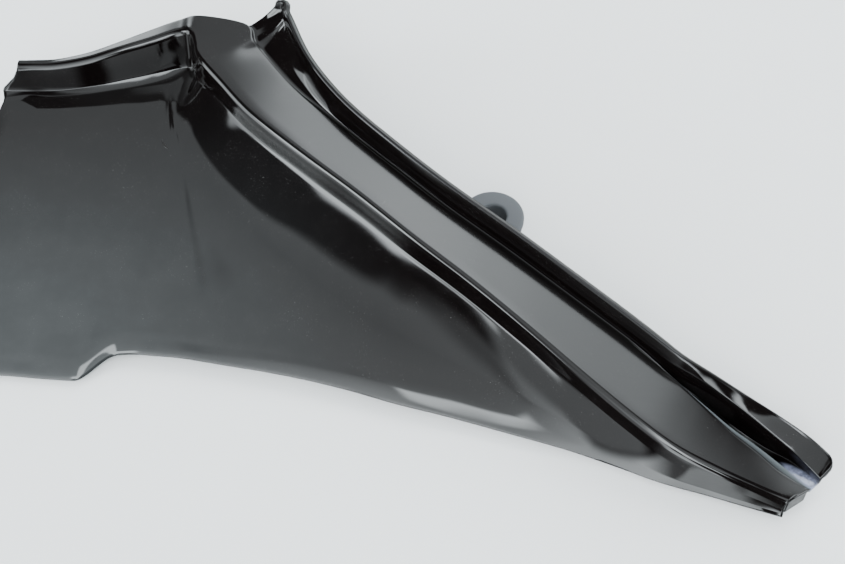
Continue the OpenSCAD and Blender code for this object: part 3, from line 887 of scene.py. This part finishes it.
def rubber_material(finish):
    """Soft grey rubber with dust in its pores."""
    n = Nodes("grey_rubber")
    patches = n.noise(160, 4.0, 0.6)
    colour = n.mix(n.ranged(patches, 0.3, 0.7), tuple(c * 0.8 for c in finish.rubber),
                   tuple(c * 1.2 for c in finish.rubber))
    bloom = n.ranged(n.noise(900, 3.0, 0.7), 0.55, 0.75, 0.0, 0.25)
    n.join(n.mix(bloom, colour, (0.2, 0.2, 0.19)), n.shader.inputs["Base Color"])
    n.join(n.ranged(patches, 0.3, 0.7, 0.5, 0.68), n.shader.inputs["Roughness"])
    grain = n.bump(n.noise(1400, 3.0, 0.6), 0.35, 0.0001)
    n.join(n.bump(n.noise(120, 2.0), 0.2, 0.0004, grain), n.shader.inputs["Normal"])
    return n.material


def floor_material(finish):
    n = Nodes("pale_floor")
    tone = n.ranged(n.noise(3.0, 4.0, 0.6), 0.3, 0.7)
    n.join(n.mix(tone, tuple(c * 0.97 for c in finish.floor), tuple(finish.floor)),
           n.shader.inputs["Base Color"])
    n.join(n.ranged(n.noise(60, 3.0), 0.3, 0.7, 0.5, 0.6), n.shader.inputs["Roughness"])
    return n.material


def material(name, make, finish):
    return bpy.data.materials.get(name) or make(finish)


# Operators

class COVER_OT_moulding(bpy.types.Operator):
    """Build the moulding's outer and hollow sides"""

    bl_idname = "cover.moulding"
    bl_label = "Moulding"

    def execute(self, context):
        finish = context.scene.cover_finish
        black = material("gloss_black_moulding", black_material, finish)
        own(shell_mesh(context.scene.cover_shape), "cover_shell", "black_abs", black)
        return {"FINISHED"}


class COVER_OT_supports(bpy.types.Operator):
    """Build the ribs, the fixing tab and the pegs on the hollow side"""

    bl_idname = "cover.supports"
    bl_label = "Supports"

    def execute(self, context):
        plastic = material("mould_black_supports", support_material, context.scene.cover_finish)
        made = tab_pieces() + rib_pieces() + peg_pieces(context.scene.cover_shape)
        for piece in made:
            own(bevelled(piece, 0.25), "cover_shell", "black_abs", plastic)
        return {"FINISHED"}


class COVER_OT_grommet(bpy.types.Operator):
    """Build the rubber grommet in the fixing tab"""

    bl_idname = "cover.grommet"
    bl_label = "Grommet"

    def execute(self, context):
        shape = context.scene.grommet_shape
        bore, flange = shape.bore / MM, shape.flange / MM
        neck, tail = shape.neck / MM, shape.tail / MM
        below, above = TAB_Z - 0.1, TAB_Z + TAB_T + 0.1
        profile = soften([
            (bore, below - 7.5, 0.4), (tail - 2, below - 7.5, 0.5), (tail, below - 4.5, 1.0),
            (tail, below, 0.5), (neck, below, 0.3), (neck, above, 0.3), (flange, above, 0.5),
            (flange, above + 3, 1.1), (bore, above + 3, 1.1)], True)
        piece = lathe("rubber_ring", tab_frame()[2], profile, True, 128)
        rubber = material("grey_rubber", rubber_material, context.scene.cover_finish)
        own(piece, "rubber_grommet", "grey_rubber", rubber)
        return {"FINISHED"}


class World:
    """Short calls for light that depends on its direction."""

    def __init__(self):
        self.world = bpy.data.worlds.new("studio")
        self.world.use_nodes = True
        self.tree = self.world.node_tree
        self.tree.nodes.clear()

    def add(self, kind, **values):
        node = self.tree.nodes.new(kind)
        for key, value in values.items():
            setattr(node, key, value)
        return node

    def math(self, kind, a, b=0.0):
        node = self.add("ShaderNodeMath", operation=kind)
        for socket, value in zip(node.inputs, (a, b)):
            if isinstance(value, bpy.types.NodeSocket):
                self.tree.links.new(value, socket)
            else:
                socket.default_value = value
        return node.outputs[0]

    def rises(self, value, low, high):
        node = self.add("ShaderNodeMapRange", interpolation_type="SMOOTHSTEP")
        self.tree.links.new(value, node.inputs[0])
        for socket, v in zip(list(node.inputs)[1:5], (low, high, 0.0, 1.0)):
            socket.default_value = v
        return node.outputs[0]

    def falls(self, value, low, high):
        return self.math("SUBTRACT", 1.0, self.rises(value, low, high))

    def times(self, *values):
        out = values[0]
        for value in values[1:]:
            out = self.math("MULTIPLY", out, value)
        return out

    def plus(self, *values):
        out = values[0]
        for value in values[1:]:
            out = self.math("ADD", out, value)
        return out

    def stops(self, value, marks, span):
        """Level along a value from 0 to span, from (place, level) pairs."""
        most = max(level for _, level in marks)
        node = self.add("ShaderNodeValToRGB")
        ramp = node.color_ramp.elements
        while len(ramp) < len(marks):
            ramp.new(0.5)
        for mark, (place, level) in zip(ramp, marks):
            mark.position = place / span
            mark.color = (level / most, level / most, level / most, 1)
        self.tree.links.new(self.math("DIVIDE", value, span), node.inputs[0])
        return self.math("MULTIPLY", node.outputs[0], most)


def studio_world(light):
    """Light by direction: a window behind the cover, soft boxes in front of it and to its left,
    and a dim room. The camera itself sees a pale backdrop."""
    w = World()
    way = w.add("ShaderNodeSeparateXYZ")
    w.tree.links.new(w.add("ShaderNodeTexCoord").outputs["Generated"], way.inputs[0])
    side, ahead, high = way.outputs

    # Angle over the cover: 0 is the horizon behind it, 90 overhead, 180 the horizon in front
    turn = w.math("MULTIPLY", w.math("ARCTAN2", high, ahead), 180 / math.pi)
    angle = w.math("FLOORED_MODULO", turn, 360.0)

    # The room to the left of the middle brightens smoothly towards the front
    room = w.stops(angle, ((0, 0.5), (38, 0.5), (46, 0.95), (56, 1.15), (66, 1.15), (74, 1.3),
                           (82, 1.4), (92, 1.6), (102, 1.75), (110, 1.8), (120, 2.1), (130, 2.8),
                           (142, 3.9), (160, 5.6), (168, 7.0), (206, 8.0), (214, 4.5), (222, 0.8),
                           (230, 0.35), (360, 0.35)), 360)
    reach = w.stops(angle, ((0, 0.49), (51, 0.49), (54, 0.7), (61, 0.68), (66, 0.56),
                            (72, 0.5), (78, 0.41), (88, 0.4), (98, 0.44), (112, 0.55),
                            (150, 0.57), (170, 0.49), (360, 0.49)), 360)
    left = w.rises(w.math("ADD", side, reach), -0.05, 0.06)
    limit = w.stops(angle, ((0, 1.2), (80, 1.2), (92, 1.45), (124, 1.45), (143, 1.15), (147, 0.72), (164, 0.72),
                            (170, 0.85), (360, 0.85)), 360)
    right = w.falls(w.math("SUBTRACT", side, w.math("SUBTRACT", limit, 1.0)), -0.04, 0.04)
    dim = w.plus(
        w.times(w.rises(angle, 96, 112), w.falls(angle, 119, 129), w.falls(side, -0.46, -0.28), 0.5),
        w.times(w.rises(angle, 119, 129), w.falls(angle, 164, 172), w.falls(side, -0.58, -0.44),
                0.5))
    room = w.times(room, left, right, w.math("SUBTRACT", 1.0, dim), light.room)
    corner = w.times(w.rises(angle, 121, 128), w.falls(angle, 204, 214),
                     w.rises(side, -0.82, -0.74), w.falls(side, -0.58, -0.46), 1.6)

    # Window behind, dimmer towards the right
    window = w.stops(w.math("ADD", side, 1.0), (
        (0.99, 0), (1.02, 0.25), (1.05, 0.62), (1.1, 0.5), (1.16, 0.66), (1.22, 0.74), (1.27, 0.54),
        (1.33, 0.49), (1.38, 0.45), (1.46, 0.47), (1.55, 0.3), (1.62, 0.17), (1.7, 0.06),
        (1.75, 0)), 2)
    window = w.times(window, w.rises(angle, 6, 14), w.falls(angle, 67, 73), light.window)
    behind = w.times(w.rises(turn, -40, -25), w.falls(turn, 28, 38), w.rises(side, 0.2, 0.4), 0.22,
                     light.window)

    under = w.plus(
        w.times(w.rises(angle, 236, 250), w.falls(angle, 320, 335), w.rises(side, 0.2, 0.36), 1.6),
        w.times(w.rises(angle, 218, 224), w.falls(angle, 229, 234), w.rises(side, -0.24, -0.19),
                w.falls(side, -0.13, -0.08), 2.5))

    # Boxes in front, and a low one far to the left
    parts = w.plus(
        w.times(w.rises(angle, 114, 118), w.falls(angle, 125, 131),
                w.rises(side, -0.93, -0.9), w.falls(side, -0.69, -0.65)),
        w.times(w.rises(angle, 125, 131), w.falls(angle, 150, 157),
                w.rises(side, -0.93, -0.9), w.falls(side, -0.77, -0.72)),
        w.times(w.rises(angle, 108, 114), w.falls(angle, 156, 165),
                w.rises(side, -0.14, -0.08), w.falls(side, 0.08, 0.14), 0.8),
        w.times(w.rises(angle, 125, 131), w.falls(angle, 143, 150),
                w.rises(side, -0.34, -0.26), w.falls(side, -0.14, -0.08), 0.8),
        w.times(w.rises(angle, 14, 20), w.falls(angle, 36, 42),
                w.rises(side, -0.57, -0.53), w.falls(side, -0.44, -0.4), 0.6),
        w.times(w.rises(angle, 104, 118), w.falls(angle, 272, 290), w.falls(side, -0.92, -0.86),
                0.4))
    front = w.math("MULTIPLY", parts, light.front)
    low = w.times(w.rises(angle, 82, 88), w.falls(angle, 116, 122), w.falls(side, -0.93, -0.9),
                  light.low)

    beside = w.times(w.rises(angle, 76, 88), w.falls(angle, 168, 180), w.rises(side, 0.7, 0.78),
                     light.right)

    level = w.plus(room, corner, window, behind, under, front, low, beside, light.dark)
    glow = w.add("ShaderNodeBackground")
    glow.inputs["Color"].default_value = (0.93, 1.0, 1.03, 1)
    w.tree.links.new(level, glow.inputs["Strength"])
    backdrop = w.add("ShaderNodeBackground")
    backdrop.inputs["Color"].default_value = (0.86, 0.87, 0.88, 1)
    seen = w.add("ShaderNodeMixShader")
    w.tree.links.new(w.add("ShaderNodeLightPath").outputs["Is Camera Ray"], seen.inputs[0])
    w.tree.links.new(glow.outputs[0], seen.inputs[1])
    w.tree.links.new(backdrop.outputs[0], seen.inputs[2])
    output = w.add("ShaderNodeOutputWorld")
    w.tree.links.new(seen.outputs[0], output.inputs[0])
    return w.world


class COVER_OT_studio(bpy.types.Operator):
    """Set up the floor, the light and the camera"""

    bl_idname = "cover.studio"
    bl_label = "Studio"

    def execute(self, context):
        scene = context.scene
        side = 1.6
        mesh = bpy.data.meshes.new("floor")
        mesh.from_pydata([(-side, -side, 0), (side, -side, 0), (side, side, 0), (-side, side, 0)],
                         [], [(0, 1, 2, 3)])
        floor = bpy.data.objects.new("floor", mesh)
        scene.collection.objects.link(floor)
        mesh.materials.append(material("pale_floor", floor_material, scene.cover_finish))
        floor.visible_glossy = False
        scene.world = studio_world(scene.studio_light)

        aim = (Vector((0, 0, 30)) - ORIGIN) * MM
        tilt = math.radians(54)
        camera = bpy.data.objects.new("camera", bpy.data.cameras.new("camera"))
        scene.collection.objects.link(camera)
        camera.data.lens = 60
        camera.data.sensor_width = 36
        camera.location = aim + Vector((0, -math.cos(tilt), math.sin(tilt))) * 0.465
        camera.rotation_euler = (math.radians(90) - tilt, 0, 0)
        scene.camera = camera
        return {"FINISHED"}


class COVER_PT_panel(bpy.types.Panel):
    """Builds the cover piece by piece"""

    bl_idname = "COVER_PT_panel"
    bl_label = "Side cover"
    bl_space_type = "VIEW_3D"
    bl_region_type = "UI"
    bl_category = "Side cover"

    def draw(self, context):
        layout = self.layout
        for group in GROUPS:
            holder = getattr(context.scene, group)
            for key in holder.__annotations__:
                layout.prop(holder, key)
        for operator in OPERATORS:
            layout.operator(operator.bl_idname)


GROUPS = {
    "cover_shape": CoverShape, "cover_finish": CoverFinish, "grommet_shape": GrommetShape,
    "studio_light": StudioLight}
OPERATORS = (COVER_OT_moulding, COVER_OT_supports, COVER_OT_grommet, COVER_OT_studio)


def register():
    for kind in (*GROUPS.values(), *OPERATORS, COVER_PT_panel):
        bpy.utils.register_class(kind)
    for name, kind in GROUPS.items():
        setattr(bpy.types.Scene, name, PointerProperty(type=kind))


def unregister():
    for name in GROUPS:
        delattr(bpy.types.Scene, name)
    for kind in reversed((*GROUPS.values(), *OPERATORS, COVER_PT_panel)):
        bpy.utils.unregister_class(kind)


def main():
    register()
    bpy.ops.cover.moulding()
    bpy.ops.cover.supports()
    bpy.ops.cover.grommet()
    bpy.ops.cover.studio()


if __name__ == "__main__":
    main()
